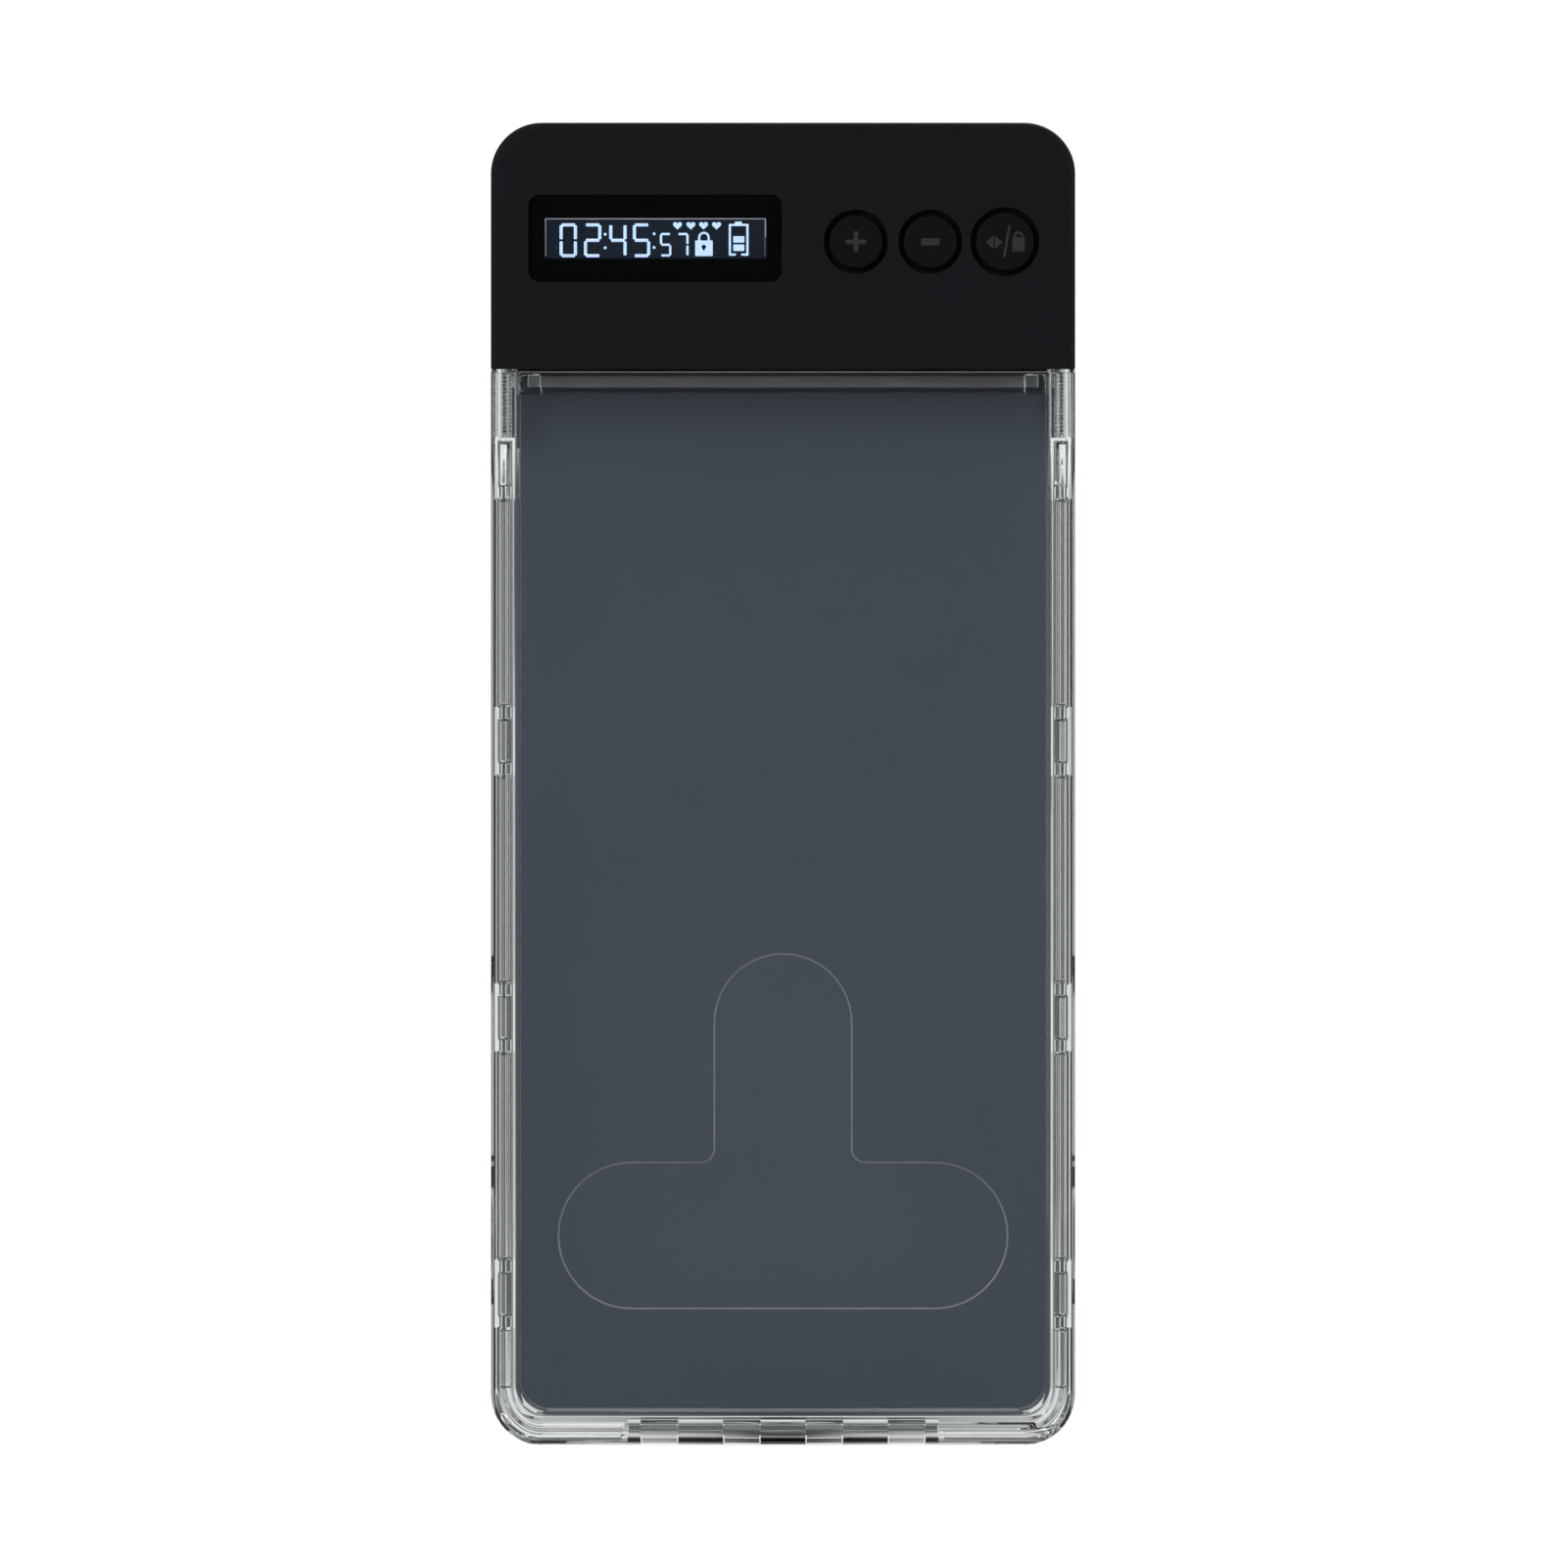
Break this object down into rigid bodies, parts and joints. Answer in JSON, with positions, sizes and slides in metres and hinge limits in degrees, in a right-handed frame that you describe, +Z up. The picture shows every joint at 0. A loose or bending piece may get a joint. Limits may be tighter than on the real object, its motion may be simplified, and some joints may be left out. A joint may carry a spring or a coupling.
{
  "type": "timed lock case",
  "caption": "Flat clear case with a flip-open slotted cover on a bottom hinge, locked by motor-driven bolts in a black head with a timer display and sprung buttons.",
  "frame": {"origin": "under the middle of the foot, at the bottom centre of the bounding box, with the case standing upright", "axes": "+Z up towards the black head, -Y out of the front with the display, +X to the right seen from the front"},
  "size_m": [0.095, 0.023, 0.215],
  "materials": {
    "clear_plastic": "clear moulded plastic with a polished surface and a faint grey-green tint",
    "slate_liner": "soft slate-grey liner with a fine matte grain",
    "black_plastic": "black moulded plastic, matte, with a fine spark-eroded grain",
    "button_plastic": "black moulded plastic with smooth satin faces",
    "dark_window": "smoked display window, polished",
    "black_print": "black printed or moulded surface",
    "white_plastic": "off-white moulded plastic",
    "green_board": "green circuit board with a glossy mask",
    "silver_foil": "silver foil pouch",
    "red_lead": "thin insulated leads",
    "blue_lead": "thin insulated leads",
    "steel": "plain bright steel",
    "black_screw": "blackened steel screws",
    "grey_print": "dark grey symbols printed on the button caps",
    "lit_segments": "pale blue-white segments of the timer display, lit from behind",
    "brass": "plain brass"
  },
  "bodies": {
    "case": {"tray": "clear_plastic", "liner": "slate_liner", "hinge_pin": "steel", "head_front": "black_plastic", "head_rear": "black_plastic", "display_window": "dark_window", "display_mask": "black_print", "lcd_panel": "dark_window", "backlight": "white_plastic", "circuit_board": "green_board", "board_chips": "black_print", "board_connectors": "white_plastic", "buzzer": "black_plastic", "usb_socket": "steel", "usb_tongue": "black_plastic", "switches": "black_plastic", "battery": "silver_foil", "battery_tape": "white_plastic", "battery_leads": "red_lead", "motor_leads": "blue_lead", "bolt_keeper": "steel", "gearbox": "brass", "motor": "steel", "motor_end_cap": "black_plastic", "motor_bracket": "steel", "case_screws": "steel", "housing_screws": "black_screw", "board_screws": "steel", "drive_screws": "steel"},
    "lid": {"cover": "clear_plastic", "strike_bar": "steel"},
    "bolt": {"bolt_carriage": "white_plastic", "lock_bolts": "steel", "bolt_rivets": "steel"},
    "pinion": {"drive_pinion": "brass", "output_shaft": "steel"},
    "button_plus": {"plus_button": "button_plastic", "plus_plunger": "black_plastic"},
    "button_minus": {"minus_button": "button_plastic", "minus_plunger": "black_plastic"},
    "button_lock": {"lock_button": "button_plastic", "lock_plunger": "black_plastic"}
  },
  "joints": [
    {"name": "lid_hinge", "type": "hinge", "parent": "case", "child": "lid", "pos_m": [0, -0.0083, 0.0024], "axis": [1, 0, 0], "range_deg": [0, 90]},
    {"name": "bolt_slide", "type": "slide", "parent": "case", "child": "bolt", "axis": [0, 0, -1], "range_m": [0, 0.004]},
    {"name": "pinion_turn", "type": "hinge", "parent": "case", "child": "pinion", "pos_m": [0.003, 0.0039, 0.197], "axis": [1, 0, 0], "range_deg": [0, 65.6]},
    {"name": "plus_press", "type": "slide", "parent": "case", "child": "button_plus", "axis": [0, 1, 0], "range_m": [0, 0.0005], "stiffness_N_per_m": 2000},
    {"name": "minus_press", "type": "slide", "parent": "case", "child": "button_minus", "axis": [0, 1, 0], "range_m": [0, 0.0005], "stiffness_N_per_m": 2000},
    {"name": "lock_press", "type": "slide", "parent": "case", "child": "button_lock", "axis": [0, 1, 0], "range_m": [0, 0.0005], "stiffness_N_per_m": 2000}
  ],
  "couplings": [
    {"joint": "pinion_turn", "follows": "bolt_slide", "rad_per_m": 285.71}
  ]
}
